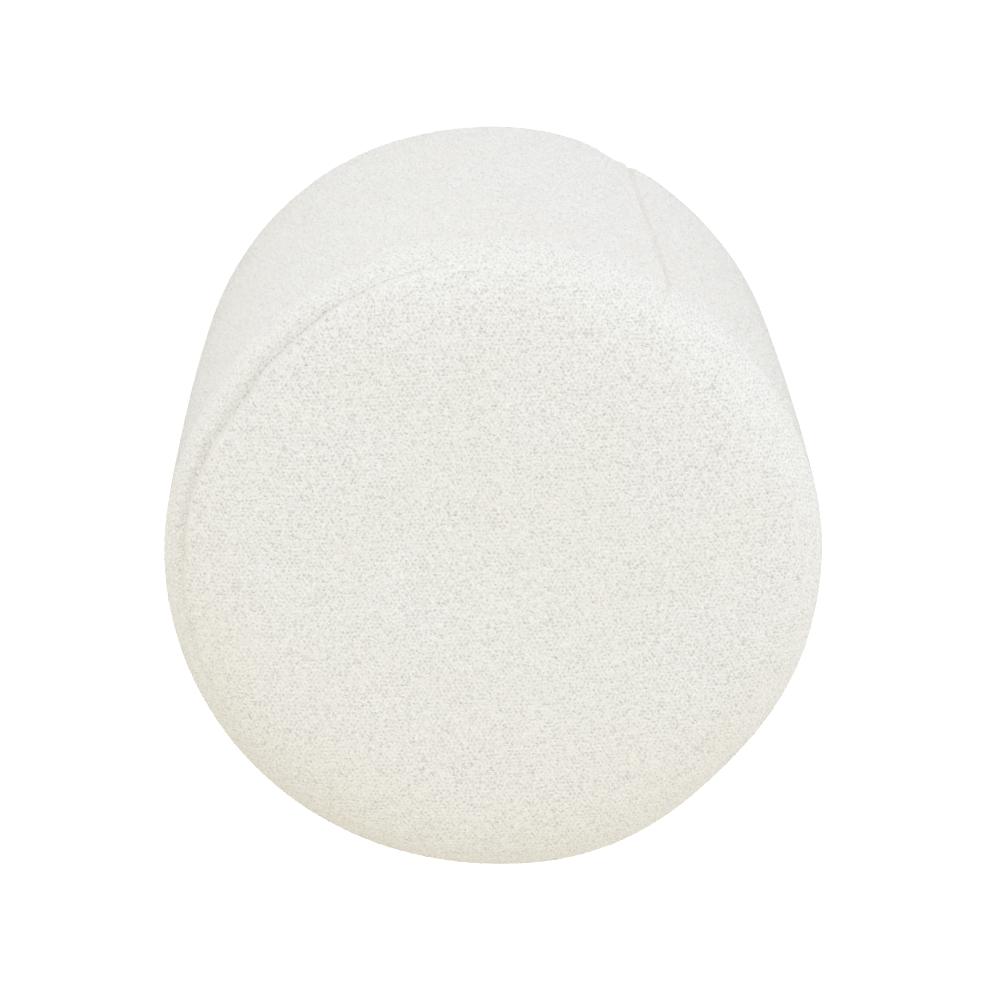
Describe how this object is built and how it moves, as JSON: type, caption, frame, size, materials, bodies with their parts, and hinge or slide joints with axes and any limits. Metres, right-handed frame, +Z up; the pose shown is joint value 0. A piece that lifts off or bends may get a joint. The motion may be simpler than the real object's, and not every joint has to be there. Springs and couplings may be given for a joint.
{
  "type": "round ottoman",
  "caption": "Round drum ottoman in looped off-white cloth, with a crowned seat panel sewn into a full, softly shouldered side wall.",
  "frame": {"origin": "centre of the underside, on the surface that the ottoman stands on", "axes": "+Z up, through the middle of the seat; the upright seam of the wall band leans from azimuth 239 degrees at the foot to 236 at the seat, on the -X -Y side"},
  "size_m": [0.4615, 0.4611, 0.435],
  "materials": {
    "seat_cloth": "looped, nubby, matt, off-white",
    "wall_cloth": "looped, nubby, matt, off-white",
    "base_cloth": "plain close weave, matt"
  },
  "bodies": {
    "root": {"seat_panel": "seat_cloth", "wall_band": "wall_cloth", "base_panel": "base_cloth"}
  },
  "joints": []
}
